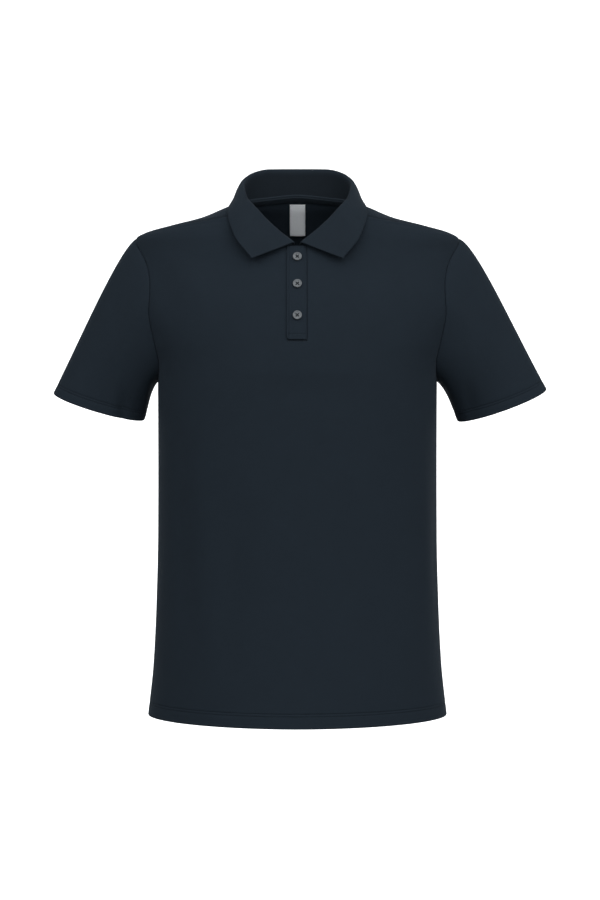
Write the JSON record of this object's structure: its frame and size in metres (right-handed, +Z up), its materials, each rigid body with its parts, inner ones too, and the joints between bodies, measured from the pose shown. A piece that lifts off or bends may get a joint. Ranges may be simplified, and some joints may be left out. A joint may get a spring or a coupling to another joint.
{
  "type": "polo shirt",
  "caption": "Short-sleeved polo shirt in the hollow form it has when worn, with a fold-over knitted collar, a buttoned half placket, set-in sleeves and a straight hem.",
  "frame": {"origin": "on the shirt's middle plane, between the high points of the shoulders, where the wearer's neck and shoulders hold it up", "axes": "+Z up towards the collar, -Y out of the front, +X towards the wearer's left"},
  "size_m": [0.6578, 0.2465, 0.7355],
  "materials": {
    "pique": "dark navy cotton pique knit, matt",
    "rib": "dark navy flat-knitted rib, matt",
    "tape": "dark navy herringbone tape",
    "label": "light grey woven satin, blank",
    "button": "grey polyester, soft gloss"
  },
  "bodies": {
    "root": {"front_panel": "pique", "back_panel": "pique", "sleeve_left": "pique", "sleeve_right": "pique", "collar": "rib", "placket_top": "pique", "placket_under": "pique", "neck_tape": "tape", "label": "label", "button_top": "button", "button_middle": "button", "button_bottom": "button"}
  },
  "joints": []
}
